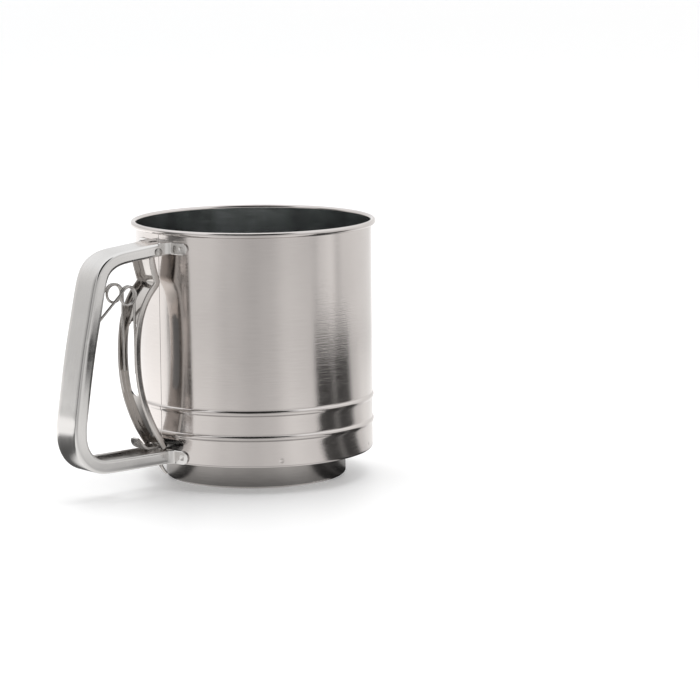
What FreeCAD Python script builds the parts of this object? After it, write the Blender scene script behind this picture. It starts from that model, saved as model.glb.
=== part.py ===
import FreeCAD, Part
import math
import os
from FreeCAD import Vector

# Hand-squeezed flour sifter: a sheet-steel cup with two wire screens, agitators on a
# centre spindle, and a bail handle whose trigger works the spindle through a link.
# Millimetres, +Z up.  Origin: centre of the resting plane of the foot ring.
# The handle is on the -X side.  Profiles in the handle plane are written as (r, z),
# where r is the distance from the cup's axis along -X.  Angles named _AZ are in
# degrees from the handle plane towards -Y.  The mechanism is drawn at rest.

# ---------------------------------------------------------------- driving dimensions
RUN = 0.05                # radial running clearance
FIT = 0.02                # clearance of parts fixed together

SHEET_CUP = 0.50
R_BODY = 52.03            # outside radius of the cup wall
Z_BODY_LOW = 11.50        # underside of the cup's folded bottom edge
Z_RIM_TOP = 113.40        # top of the rolled rim
R_RIM = 54.00             # outside radius of the rolled rim
RIM_ROLL = 1.24           # radius of the rim's roll
BEAD_HI = 35.10           # height of the upper bead (carries the upper screen)
BEAD_LO = 24.20           # height of the lower bead (carries the lower screen)
BEAD_OUT = 0.62           # how far a bead stands out of the wall
BEAD_R = 1.50             # radius of a bead's section
SLOT_Z = (17.40, 21.90)   # drive slot through the wall, bottom and top
SLOT_AZ = (-7.5, 14.5)    # its ends

SHEET_FOOT = 0.50
R_FOOT = 39.85            # outside radius of the foot ring
FOOT_LIP_IN = 36.60       # inner radius of the foot ring's turned-in lip
Z_FOOT_PLATE = 12.05      # underside of the foot ring's flat shoulder
Z_FOOT_FLANGE = 16.80     # top of its upstand inside the wall
WELD_SPOTS = 6            # spot welds that join upstand and wall
WELD_SPOT_Z = 14.40
WELD_SPOT_AZ = 63.7       # the first of them

SHEET_HANDLE = 0.80
W_HANDLE = 15.0           # outside width of the handle channel
R_HANDLE_SEAT = R_BODY + 0.04    # where the handle meets the wall
HANDLE_ARM_SLOT_W = 8.0   # oblong guide slot in the lower arm
HANDLE_ARM_SLOT_END = 80.0
HANDLE_TOP_SLOT = (52.9, 57.2)   # short oblong slot in the upper arm, r from / to
HANDLE_TOP_SLOT_W = 3.2
EAR_T = 0.8               # weld ear thickness

SHEET_TRIG = 0.80
W_TRIG = 13.0             # outside width of the trigger channel
TRIG_FLANGE = 3.3         # trigger flange depth
PIVOT_R, PIVOT_Z = 57.8, 104.3   # trigger pivot, axis along Y
PIN_R = 1.20              # pivot pin radius
TRIG_END_Z = 19.70        # lower end of the trigger channel
TAIL_W = 2.0              # trigger tail width
TAIL_T = 0.9
TRIG_WINDOW = (41.5, 74.5, 6.8)  # window in the trigger web: z from, z to, width

ROTOR_TURN = 12           # turn of agitators, spindle and its square tenon about Z
CRANK_RC = 24.0           # spindle axis to crank pin axis
ROTOR_SWING = 56.7        # spindle turn over the whole squeeze, degrees
CRANK_Z = (19.20, 20.40)
LINK_Z = (18.00, 19.00)
LINK_W = 6.0
LINK_HEAD_W = 8.2
LINK_SHIFT = 1.44         # offset of the tail hole towards +Y
RIVET_R = 1.50            # crank rivet shank radius

R_SHAFT = 3.50
Z_SHAFT_TOP = 36.55
SHAFT_FLATS = 5.6         # across the two flats
TENON = 4.4               # side of the spindle's square lower tenon
TONGUE_W, TONGUE_T = 6.6, 1.2
R_SLEEVE = 4.50
SCREEN_T = 0.70
R_SCREEN = 50.90
EYELET_GAP = 0.03         # between a screen and its eyelet's flanges
EYELET_FLANGE_T = 0.55
R_TIP = 46.60             # tip radius of both agitators
SHEET_AG = 0.60

WIRE_R = 0.60             # return spring wire radius
COIL_R = 3.90             # return spring coil radius, to the wire's centre
COIL_R_POS, COIL_Z = 72.7, 86.7  # coil axis (r, z), along Y

# ------------------------------------------------------------------- derived values
R_WALL_IN = R_BODY - SHEET_CUP
EYELET_HALF = SCREEN_T / 2 + EYELET_GAP + EYELET_FLANGE_T
Z_UPPER_AG = BEAD_HI + SCREEN_T / 2 + 0.25       # underside of the upper agitator
Z_HUB = Z_SHAFT_TOP + 0.05                       # underside of its raised hub disc
Z_HUB_TOP = Z_HUB + SHEET_AG
Z_LOWER_AG = BEAD_LO + EYELET_HALF + 0.12        # underside of the lower agitator
CRANK_AZ = 90.0 + ROTOR_SWING / 2.0
CRANK_T = CRANK_Z[1] - CRANK_Z[0]
LINK_T = LINK_Z[1] - LINK_Z[0]
COS45 = math.cos(math.radians(45))

ORIGIN = Vector(0, 0, 0)
AXIS_X = Vector(1, 0, 0)
AXIS_Y = Vector(0, 1, 0)
AXIS_Z = Vector(0, 0, 1)

# ------------------------------------------------------------ outlines, all (r, z)
# Outside of the handle, from the upper weld to the lower weld.
HANDLE_OUT = [
    (49.0, 108.45), (54.0, 108.05), (59.0, 107.65), (64.0, 107.2), (69.0, 106.75),
    (74.0, 106.3), (77.6, 105.85), (80.6, 105.1), (83.4, 103.9), (86.0, 102.2),
    (88.2, 99.9), (89.8, 97.1), (91.0, 93.8), (92.1, 89.6), (94.6, 78.4),
    (97.3, 66.0), (99.6, 53.6), (101.6, 41.4), (102.6, 35.0), (103.0, 30.6),
    (102.9, 26.8), (102.1, 22.9), (100.5, 19.4), (98.1, 16.3), (95.0, 13.9),
    (91.4, 12.3), (87.6, 11.55), (83.0, 11.4), (74.0, 11.4), (65.0, 11.45),
    (57.0, 11.5), (49.0, 11.5)]
# Free edge of the handle's flanges, in the same direction.
HANDLE_IN = [
    (49.0, 103.1), (57.0, 102.5), (62.0, 102.15), (67.0, 101.75), (72.0, 101.3),
    (76.0, 100.75), (79.2, 99.9), (81.8, 98.4), (83.7, 96.2), (84.9, 93.3),
    (85.9, 89.6), (88.3, 79.4), (91.2, 66.0), (93.7, 53.6), (95.9, 42.0),
    (97.1, 34.6), (97.3, 30.6), (96.9, 27.0), (95.8, 23.5), (94.0, 20.7),
    (91.4, 18.7), (88.4, 17.75), (84.6, 17.4), (74.0, 17.35), (65.0, 17.4),
    (57.0, 17.45), (49.0, 17.45)]
# Cup-side face of the trigger web, from pivot height down to the lower end.
TRIG_WEB = [
    (59.0, 104.3), (58.9, 102.4), (58.45, 99.6), (57.7, 96.6), (56.85, 93.8),
    (56.2, 91.9), (56.15, 90.5), (57.0, 89.0), (58.9, 87.1), (60.8, 84.9),
    (63.2, 80.9), (65.2, 75.8), (66.45, 69.8), (67.05, 63.0), (67.0, 55.6),
    (66.2, 48.2), (64.6, 41.2), (62.0, 34.2), (58.75, 27.6), (55.35, 22.2),
    (53.25, 19.0)]
# Centre line of the trigger's tail, downwards.
TAIL_LINE = [
    (54.75, 20.8), (53.75, 19.2), (53.45, 17.6), (53.4, 14.8), (53.5, 12.2),
    (53.25, 10.5), (52.0, 8.2), (50.1, 5.75)]
# Centre line of a return spring leg in the trigger channel, upwards to the coil.
SPRING_LEG = [
    (68.35, 52.4), (68.55, 56.0), (68.6, 60.0), (68.6, 64.0), (68.6, 68.0),
    (68.75, 73.0), (68.85, 78.0), (68.8, 82.5)]
# Spring arm beyond the coil: (distance along the arm, y).
SPRING_ARM = [
    (2.0, 5.95), (5.0, 5.75), (9.0, 5.45), (13.0, 5.1), (17.0, 4.75), (21.0, 4.35),
    (24.2, 3.95)]
# Half of the spring's bridge, ending in the handle plane: (x, y, z).
SPRING_BRIDGE = [(-93.9, 3.35, 71.0), (-94.7, 2.2, 70.15), (-94.95, 0.0, 69.85)]
# Centre line of the link's curled lip: (r, rise above the link's mid-plane).
LIP_LINE = [(60.2, 0.0), (61.4, 0.05), (62.7, 0.55), (63.8, 1.6), (64.7, 3.0), (65.4, 4.6)]


# -------------------------------------------------------------------------- helpers
def plane_point(r, z, y=0.0):
    """(r, z) in the handle plane to a point."""
    return Vector(-r, y, z)


def az_point(radius, deg, z=0.0):
    """Point at a radius, deg from the handle plane towards -Y."""
    angle = math.radians(deg)
    return Vector(-radius * math.cos(angle), -radius * math.sin(angle), z)


def turned_point(x, y, deg, z=0.0):
    """Point (x, y) turned about the cup's axis."""
    cos_a, sin_a = math.cos(math.radians(deg)), math.sin(math.radians(deg))
    return Vector(x * cos_a - y * sin_a, x * sin_a + y * cos_a, z)


def curve_through(points):
    curve = Part.BSplineCurve()
    curve.interpolate(points)
    return curve


def plane_curve(outline):
    return curve_through([plane_point(*q) for q in outline])


def tangent_of(curve, param):
    """Tangent vector; some FreeCAD versions wrap it in a tuple."""
    tangent = curve.tangent(param)
    return tangent[0] if isinstance(tangent, (tuple, list)) else tangent


def offset_points(outline, dist, steps=160):
    """Points of the (r, z) curve through outline, moved by dist to the right of travel."""
    curve = plane_curve(outline)
    first, last = curve.FirstParameter, curve.LastParameter
    moved = []
    for i in range(steps + 1):
        param = first + (last - first) * i / steps
        point = curve.value(param)
        tangent = tangent_of(curve, param)
        # the direction of travel in (r, z) is (-tangent.x, tangent.z)
        moved.append((-point.x + dist * tangent.z, point.z + dist * tangent.x))
    # drop the points that fall inside a tight bend
    base = [curve.value(first + (last - first) * i / 800.0) for i in range(801)]
    kept = []
    for r, z in moved:
        nearest = min((r + v.x) ** 2 + (z - v.z) ** 2 for v in base)
        if nearest > (abs(dist) - 0.02) ** 2:
            kept.append((r, z))
    # thin out the rest, keeping both ends
    thin = [kept[0]]
    for q in kept[1:-1]:
        if math.hypot(q[0] - thin[-1][0], q[1] - thin[-1][1]) > 0.8:
            thin.append(q)
    end = kept[-1]
    if math.hypot(end[0] - thin[-1][0], end[1] - thin[-1][1]) < 0.4:
        thin.pop()
    thin.append(end)
    return thin


def face_between(first, second):
    """Face in the XZ plane between two (r, z) curves given in the same direction."""
    edge_a = plane_curve(first).toShape()
    edge_b = plane_curve(second).toShape()
    start = Part.makeLine(plane_point(*first[0]), plane_point(*second[0]))
    end = Part.makeLine(plane_point(*first[-1]), plane_point(*second[-1]))
    return Part.Face(Part.Wire(Part.__sortEdges__([edge_a, end, edge_b, start])))


def face_with_corners(outline, corners):
    """Face between a smooth (r, z) curve and straight lines through corners."""
    edges = [plane_curve(outline).toShape()]
    points = [plane_point(*q) for q in [outline[-1]] + corners + [outline[0]]]
    for a, b in zip(points[:-1], points[1:]):
        edges.append(Part.makeLine(a, b))
    return Part.Face(Part.Wire(edges))


def y_prism(face, width):
    """Extrusion of an XZ face along Y, symmetric about the handle plane."""
    start = face.copy()
    start.translate(Vector(0, -width / 2.0, 0))
    return start.extrude(Vector(0, width, 0))


def round_long_edges(solid, outline, width, radius):
    """Round the two edges of a prism that follow the given (r, z) curve."""
    curve = plane_curve(outline)
    picked = []
    for edge in solid.Edges:
        mid = edge.valueAt((edge.FirstParameter + edge.LastParameter) / 2.0)
        if abs(abs(mid.y) - width / 2.0) > 0.01 or edge.Length < 60:
            continue
        flat_mid = Vector(mid.x, 0, mid.z)
        if curve.value(curve.parameter(flat_mid)).distanceToPoint(flat_mid) < 0.05:
            picked.append(edge)
    return solid.makeFillet(radius, picked)


def bend(end, centre, radius, side):
    """Profile entry for revolve: a quarter arc to end, bulging to the side given as
    signs of (radius, z)."""
    return (end[0], end[1],
            centre[0] + side[0] * radius * COS45, centre[1] + side[1] * radius * COS45)


def revolve(profile):
    """Ring from a closed (radius, z) polygon; an entry (radius, z, mid radius, mid z)
    is reached by an arc through its mid point."""
    edges = []
    here = Vector(profile[0][0], 0, profile[0][1])
    for q in profile[1:] + [profile[0][:2]]:
        there = Vector(q[0], 0, q[1])
        if len(q) > 2:
            edges.append(Part.Arc(here, Vector(q[2], 0, q[3]), there).toShape())
        else:
            edges.append(Part.makeLine(here, there))
        here = there
    return Part.Face(Part.Wire(edges)).revolve(ORIGIN, AXIS_Z, 360)


def tube(r_out, r_in, z_low, z_high):
    outside = Part.makeCylinder(r_out, z_high - z_low, Vector(0, 0, z_low))
    return outside.cut(Part.makeCylinder(r_in, z_high - z_low + 2, Vector(0, 0, z_low - 1)))


def oblong(start, end, width, z_low, z_high):
    """Round-ended column between two plan points."""
    span = end.sub(start)
    span.z = 0
    along = Vector(span.x / span.Length, span.y / span.Length, 0) * (width / 2.0)
    across = Vector(-along.y, along.x, 0)
    a = Vector(start.x, start.y, z_low)
    b = Vector(end.x, end.y, z_low)
    edges = [Part.makeLine(a + across, b + across),
             Part.Arc(b + across, b + along, b - across).toShape(),
             Part.makeLine(b - across, a - across),
             Part.Arc(a - across, a - along, a + across).toShape()]
    return Part.Face(Part.Wire(edges)).extrude(Vector(0, 0, z_high - z_low))


def upright_edges(solid):
    return [e for e in solid.Edges
            if abs(e.Vertexes[0].Point.z - e.Vertexes[1].Point.z) > 0.1]


def polygon_prism(corners, z_low, z_high, radius=0):
    """Column over a polygon, its upright corners rounded if a radius is given."""
    base = [Vector(c.x, c.y, z_low) for c in corners]
    solid = Part.Face(Part.makePolygon(base + [base[0]])).extrude(
        Vector(0, 0, z_high - z_low))
    return solid.makeFillet(radius, upright_edges(solid)) if radius > 0 else solid


def double_flat(radius, across, z_low, z_high):
    """Round bar about the axis with flats facing +Y and -Y."""
    return Part.makeCylinder(radius, z_high - z_low, Vector(0, 0, z_low)).common(
        Part.makeBox(20, across, z_high - z_low + 2, Vector(-10, -across / 2, z_low - 1)))


def fuse_all(shapes):
    total = shapes[0]
    for shape in shapes[1:]:
        total = total.fuse(shape)
    return total


def clean(shape):
    """Merge split faces; the shape stays as it is if that fails or spoils it."""
    try:
        merged = shape.removeSplitter()
        if merged.isValid():
            return merged
    except Exception:
        pass
    return shape


def write(name, shape, tidy=True):
    if tidy:
        shape = clean(shape)
    solids = shape.Solids
    out = solids[0] if len(solids) == 1 else Part.makeCompound(solids)
    out.exportStep("parts/%s.step" % name)


CRANK_PIN = az_point(CRANK_RC, CRANK_AZ)         # crank pin in plan


# ------------------------------------------------------------------------- cup body
def rolled_rim(centre_r, centre_z):
    """The sheet turns outward and round, leaving a small gap to the wall."""
    def on_roll(radius, deg):
        angle = math.radians(deg)
        return (centre_r + radius * math.cos(angle), centre_z + radius * math.sin(angle))

    start, middle, end = 180, 45, -125
    r_in = RIM_ROLL - SHEET_CUP
    return revolve([
        on_roll(RIM_ROLL, start),
        on_roll(RIM_ROLL, end) + on_roll(RIM_ROLL, middle),
        on_roll(r_in, end),
        on_roll(r_in, start) + on_roll(r_in, middle)])


def cut_drive_slot(wall):
    """A sector of a ring, then its rounded ends."""
    z_mid = 0.5 * (SLOT_Z[0] + SLOT_Z[1])
    half = 0.5 * (SLOT_Z[1] - SLOT_Z[0])
    end_deg = math.degrees(half / R_BODY)
    base = Vector(0, 0, SLOT_Z[0])
    sector = Part.makeCylinder(R_BODY + 2, 2 * half, base, AXIS_Z,
                               SLOT_AZ[1] - SLOT_AZ[0] - 2 * end_deg)
    sector = sector.cut(Part.makeCylinder(R_BODY - 3, 2 * half, base))
    sector.rotate(ORIGIN, AXIS_Z, 180 + SLOT_AZ[0] + end_deg)
    wall = wall.cut(sector)
    for deg in (SLOT_AZ[0] + end_deg, SLOT_AZ[1] - end_deg):
        wall = wall.cut(Part.makeCylinder(half, 8, az_point(R_BODY - 4, deg, z_mid),
                                          az_point(1, deg)))
    return wall


def cup_body():
    roll_z = Z_RIM_TOP - RIM_ROLL
    fold_in_r = 48.6                  # inner edge of the folded bottom
    z_fold = Z_BODY_LOW + SHEET_CUP
    r_out, r_in = 0.8, 0.3            # bend radii of the fold
    wall = revolve([
        (R_WALL_IN, roll_z), (R_WALL_IN, z_fold + r_in),
        bend((R_WALL_IN - r_in, z_fold), (R_WALL_IN - r_in, z_fold + r_in), r_in, (1, -1)),
        (fold_in_r, z_fold), (fold_in_r, Z_BODY_LOW), (R_BODY - r_out, Z_BODY_LOW),
        bend((R_BODY, Z_BODY_LOW + r_out), (R_BODY - r_out, Z_BODY_LOW + r_out),
             r_out, (1, -1)),
        (R_BODY, roll_z)])
    wall = wall.fuse(rolled_rim(R_RIM - RIM_ROLL, roll_z))

    # beads: rings pressed outward, which the screen hoops snap into
    bead_r = R_BODY + BEAD_OUT - BEAD_R
    for z in (BEAD_HI, BEAD_LO):
        ring = Part.makeTorus(bead_r, BEAD_R, Vector(0, 0, z), AXIS_Z)
        wall = wall.fuse(ring.cut(
            Part.makeCylinder(R_BODY - 0.25, 4, Vector(0, 0, z - 2))))
    for z in (BEAD_HI, BEAD_LO):
        wall = wall.cut(Part.makeTorus(bead_r, BEAD_R - SHEET_CUP, Vector(0, 0, z), AXIS_Z))

    wall = cut_drive_slot(wall)

    # spot-weld dimples above the bottom edge
    dimple_r, dimple_depth = 3.0, 0.15
    for i in range(WELD_SPOTS):
        centre = az_point(R_BODY + dimple_r - dimple_depth,
                          WELD_SPOT_AZ + 360.0 / WELD_SPOTS * i, WELD_SPOT_Z)
        wall = wall.cut(Part.makeSphere(dimple_r, centre))

    # butt-welded seam: a fine groove up the wall in the handle plane
    seam_w, seam_depth, seam_len, seam_z = 0.22, 0.07, 62.0, 39.0
    return wall.cut(Part.makeBox(1.0, seam_w, seam_len, Vector(
        -R_BODY - 1.0 + seam_depth, -seam_w / 2, seam_z)))


# ------------------------------------------------------------------------ foot ring
def foot_ring():
    r_up = R_WALL_IN - 0.04           # outside radius of the upstand
    low, neck, top = 1.2, 1.1, 1.0    # bends: at the floor, under and beyond the shoulder
    sheet = SHEET_FOOT
    low_c = (R_FOOT - low, low)
    neck_c = (R_FOOT + neck, Z_FOOT_PLATE - neck)
    top_c = (r_up - top, Z_FOOT_PLATE + top)
    z_plate_top = Z_FOOT_PLATE + sheet
    return revolve([
        (FOOT_LIP_IN, 0), (low_c[0], 0), bend((R_FOOT, low), low_c, low, (1, -1)),
        (R_FOOT, neck_c[1]), bend((neck_c[0], Z_FOOT_PLATE), neck_c, neck, (-1, 1)),
        (top_c[0], Z_FOOT_PLATE), bend((r_up, top_c[1]), top_c, top, (1, -1)),
        (r_up, Z_FOOT_FLANGE), (r_up - sheet, Z_FOOT_FLANGE), (r_up - sheet, top_c[1]),
        bend((top_c[0], z_plate_top), top_c, top - sheet, (1, -1)),
        (neck_c[0], z_plate_top),
        bend((R_FOOT - sheet, neck_c[1]), neck_c, neck + sheet, (-1, 1)),
        (R_FOOT - sheet, low), bend((low_c[0], sheet), low_c, low - sheet, (1, -1)),
        (FOOT_LIP_IN, sheet)])


# --------------------------------------------------------------------------- handle
def weld_ear(side, y_out, z_low, z_high):
    """Flange end turned flat against the wall, on the +Y (1) or -Y (-1) side."""
    y_in = W_HANDLE / 2 - SHEET_HANDLE
    half = 0.5 * (z_high - z_low)
    x_start = -R_BODY - 3
    blank = Part.makeBox(18, y_out - half - y_in, 2 * half, Vector(x_start, y_in, z_low))
    blank = blank.fuse(Part.makeCylinder(
        half, 18, Vector(x_start, y_out - half, 0.5 * (z_high + z_low)), AXIS_X))
    if side < 0:
        blank = blank.mirror(ORIGIN, AXIS_Y)
    return blank.common(tube(R_HANDLE_SEAT + EAR_T, R_HANDLE_SEAT, 0, 120))


def handle():
    w_core = W_HANDLE - 2 * SHEET_HANDLE
    outer = y_prism(face_between(HANDLE_OUT, HANDLE_IN), W_HANDLE)
    outer = round_long_edges(outer, HANDLE_OUT, W_HANDLE, 1.5)
    web_in = offset_points(HANDLE_OUT, SHEET_HANDLE)
    core = y_prism(face_between(web_in, offset_points(HANDLE_OUT, 9.0)), w_core)
    core = round_long_edges(core, web_in, w_core, 0.7)
    channel = outer.cut(core)

    # guide slot of the lower arm, open towards the cup; short slot of the upper arm
    channel = channel.cut(oblong(
        Vector(-45, 0, 0), Vector(-(HANDLE_ARM_SLOT_END - HANDLE_ARM_SLOT_W / 2), 0, 0),
        HANDLE_ARM_SLOT_W, 5, 14))
    end_r = HANDLE_TOP_SLOT_W / 2
    channel = channel.cut(oblong(
        Vector(-HANDLE_TOP_SLOT[0] - end_r, 0, 0), Vector(-HANDLE_TOP_SLOT[1] + end_r, 0, 0),
        HANDLE_TOP_SLOT_W, 104.5, 110))
    # the arms end on the cup wall
    channel = channel.cut(Part.makeCylinder(R_HANDLE_SEAT, 130, Vector(0, 0, -5)))

    for side in (1, -1):
        channel = channel.fuse(weld_ear(side, 16.0, 11.95, 17.4))
        channel = channel.fuse(weld_ear(side, 17.4, 103.3, 108.2))
    # pivot pin holes in the flanges of the upper arm
    return channel.cut(Part.makeCylinder(
        PIN_R + FIT, 30, plane_point(PIVOT_R, PIVOT_Z, -15), AXIS_Y))


def trigger_pivot_pin():
    """Pin with a low domed head at each end."""
    half_w = W_HANDLE / 2.0
    head_r, head_t = 1.75, 0.5
    dome_r, dome_rise = 3.2, 0.42
    pin = Part.makeCylinder(PIN_R, 2 * half_w + 0.16,
                            plane_point(PIVOT_R, PIVOT_Z, -half_w - 0.08), AXIS_Y)
    for side in (-1, 1):
        y_head = side * (half_w + 0.06)
        outward = Vector(0, side, 0)
        head = Part.makeCylinder(head_r, head_t, plane_point(PIVOT_R, PIVOT_Z, y_head),
                                 outward)
        dome = Part.makeSphere(dome_r, plane_point(
            PIVOT_R, PIVOT_Z, y_head + side * (head_t + dome_rise - dome_r)))
        limit = Part.makeCylinder(head_r, 1.0, plane_point(
            PIVOT_R, PIVOT_Z, y_head + side * 0.35), outward)
        pin = pin.fuse(head).fuse(dome.common(limit))
    return pin


# -------------------------------------------------------------------------- trigger
def trigger_window():
    z_low, z_high, width = TRIG_WINDOW
    end_r = width / 2
    window = Part.makeBox(30, width, (z_high - z_low) - width,
                          Vector(-85, -end_r, z_low + end_r))
    for z in (z_low + end_r, z_high - end_r):
        window = window.fuse(Part.makeCylinder(end_r, 30, Vector(-85, 0, z), AXIS_X))
    return window


def trigger():
    w_hollow = W_TRIG - 2 * SHEET_TRIG
    r_beyond = 82.0                   # clear of the flanges
    web_back = offset_points(TRIG_WEB, -SHEET_TRIG)      # handle-side face of the web
    flange_edge = offset_points(TRIG_WEB, -TRIG_FLANGE)
    body = y_prism(face_with_corners(TRIG_WEB, flange_edge[::-1]), W_TRIG)
    body = round_long_edges(body, TRIG_WEB, W_TRIG, 0.9)
    hollow = y_prism(face_with_corners(
        web_back, [(r_beyond, web_back[-1][1]), (r_beyond, web_back[0][1])]), w_hollow)
    hollow = round_long_edges(hollow, web_back, w_hollow, 0.3)
    channel = body.cut(hollow)

    # the flanges stop below the pivot, so that only the web is rolled round the pin
    channel = channel.cut(Part.makeBox(6, 40, 6, Vector(-PIVOT_R - 8.05, -20, 102.3)))
    # straight lower end
    channel = channel.cut(Part.makeBox(40, 40, 10, Vector(-80, -20, TRIG_END_Z - 10)))

    # rolled eye round the pin
    eye_half = W_TRIG / 2.0 - 0.3
    channel = channel.fuse(Part.makeCylinder(
        PIN_R + RUN + SHEET_TRIG, 2 * eye_half,
        plane_point(PIVOT_R, PIVOT_Z, -eye_half), AXIS_Y))
    channel = channel.cut(Part.makeCylinder(
        PIN_R + RUN, 40, plane_point(PIVOT_R, PIVOT_Z, -20), AXIS_Y))
    channel = channel.cut(trigger_window())

    # tail: a narrow tongue of the web that works the link and runs in the guide slot
    return channel.fuse(y_prism(face_between(
        offset_points(TAIL_LINE, TAIL_T / 2, 60),
        offset_points(TAIL_LINE, -TAIL_T / 2, 60)), TAIL_W))


# -------------------------------------------------------------------- return spring
def spring_centre_line():
    """Leg, coil and arm on the +Y side, half the bridge, then their mirror image."""
    y_leg, y_arm = 4.20, 6.00         # the coil runs from the leg out to the arm
    coil_turn = 360 + 135
    coil_steps = 44
    half = [plane_point(r, z, y_leg) for r, z in SPRING_LEG]
    for i in range(coil_steps + 1):
        part = i / float(coil_steps)
        angle = math.radians(180 - coil_turn * part)
        half.append(plane_point(COIL_R_POS + COIL_R * math.cos(angle),
                                COIL_Z + COIL_R * math.sin(angle),
                                y_leg + (y_arm - y_leg) * part))
    arm_r = COIL_R_POS + COIL_R * COS45
    arm_z = COIL_Z + COIL_R * COS45
    for dist, y in SPRING_ARM:
        half.append(plane_point(arm_r + dist * COS45, arm_z - dist * COS45, y))
    half += [Vector(*q) for q in SPRING_BRIDGE]
    return curve_through(half + [Vector(q.x, -q.y, q.z) for q in reversed(half[:-1])])


def unit(v):
    return v * (1.0 / v.Length)


def triangle(a, b, c):
    return Part.Face(Part.makePolygon([a, b, c, a]))


def return_spring():
    """Double torsion spring: two coils on one axis, a U-shaped bridge that bears on the
    handle's back web, and two legs in the trigger channel.  The wire is faceted."""
    line = spring_centre_line()
    first, last = line.FirstParameter, line.LastParameter
    stations, sides = 150, 6
    rings = []
    normal = unit(unit(tangent_of(line, first)).cross(AXIS_Y))
    for i in range(stations + 1):
        param = first + (last - first) * i / stations
        centre = line.value(param)
        tangent = unit(tangent_of(line, param))
        # carry the normal along the wire without twist
        normal = unit(normal - tangent * normal.dot(tangent))
        binormal = tangent.cross(normal)
        ring = []
        for j in range(sides):
            angle = 2 * math.pi * j / sides
            ring.append(centre + normal * (WIRE_R * math.cos(angle)) +
                        binormal * (WIRE_R * math.sin(angle)))
        rings.append(ring)

    faces = []
    for ring, ahead in zip(rings[:-1], rings[1:]):
        for j in range(sides):
            beside = (j + 1) % sides
            faces.append(triangle(ring[j], ring[beside], ahead[beside]))
            faces.append(triangle(ring[j], ahead[beside], ahead[j]))
    for ring in (rings[0], rings[-1]):
        faces.append(Part.Face(Part.makePolygon(ring + [ring[0]])))
    skin = Part.makeShell(faces)
    skin.sewShape()
    spring = Part.makeSolid(skin)
    if spring.Volume < 0:
        spring.reverse()
    return spring


# ---------------------------------------------------------------- screens and hoops
def screen_hoop(z):
    """Folded U-section ring that holds the screen's edge and snaps in the bead."""
    edge_r, fold_r = 47.6, 51.05      # inner edge; centre of the fold
    outer, inner = 0.90, 0.40         # radii of the fold
    return revolve([
        (edge_r, z - outer), (fold_r, z - outer),
        (fold_r, z + outer, fold_r + outer, z),
        (edge_r, z + outer), (edge_r, z + inner), (fold_r, z + inner),
        (fold_r, z - inner, fold_r + inner, z), (edge_r, z - inner)])


def screen_eyelet(z, bore, flange_r):
    """Flanged bush rolled over the screen's centre hole."""
    gap = SCREEN_T / 2 + EYELET_GAP
    barrel = bore + 0.90
    corner = 0.25
    round_r, round_z = flange_r - corner, EYELET_HALF - corner
    return revolve([
        (bore, z - EYELET_HALF), (round_r, z - EYELET_HALF),
        bend((flange_r, z - round_z), (round_r, z - round_z), corner, (1, -1)),
        (flange_r, z - gap), (barrel, z - gap), (barrel, z + gap), (flange_r, z + gap),
        (flange_r, z + round_z),
        bend((round_r, z + EYELET_HALF), (round_r, z + round_z), corner, (1, 1)),
        (bore, z + EYELET_HALF)])


def screen(z, bore):
    return tube(R_SCREEN, bore + 0.95, z - SCREEN_T / 2, z + SCREEN_T / 2)


# ------------------------------------------------------------------------ agitators
def rib(start, end, radius, z_low, z_high):
    """Round bar with spherical ends, kept between two heights."""
    span = end.sub(start)
    bar = Part.makeCylinder(radius, span.Length, start, span)
    bar = bar.fuse(Part.makeSphere(radius, start)).fuse(Part.makeSphere(radius, end))
    return bar.common(Part.makeBox(120, 120, z_high - z_low, Vector(-60, -60, z_low)))


def press_ribs(plate, lines, z_plate):
    """Raise hollow half-round ribs along the lines of a plate with underside z_plate."""
    outside = fuse_all([rib(a, b, 1.75, z_plate, z_plate + 3) for a, b in lines])
    inside = fuse_all([rib(a, b, 1.15, z_plate - 1, z_plate + 3) for a, b in lines])
    return plate.fuse(outside).cut(inside)


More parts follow.
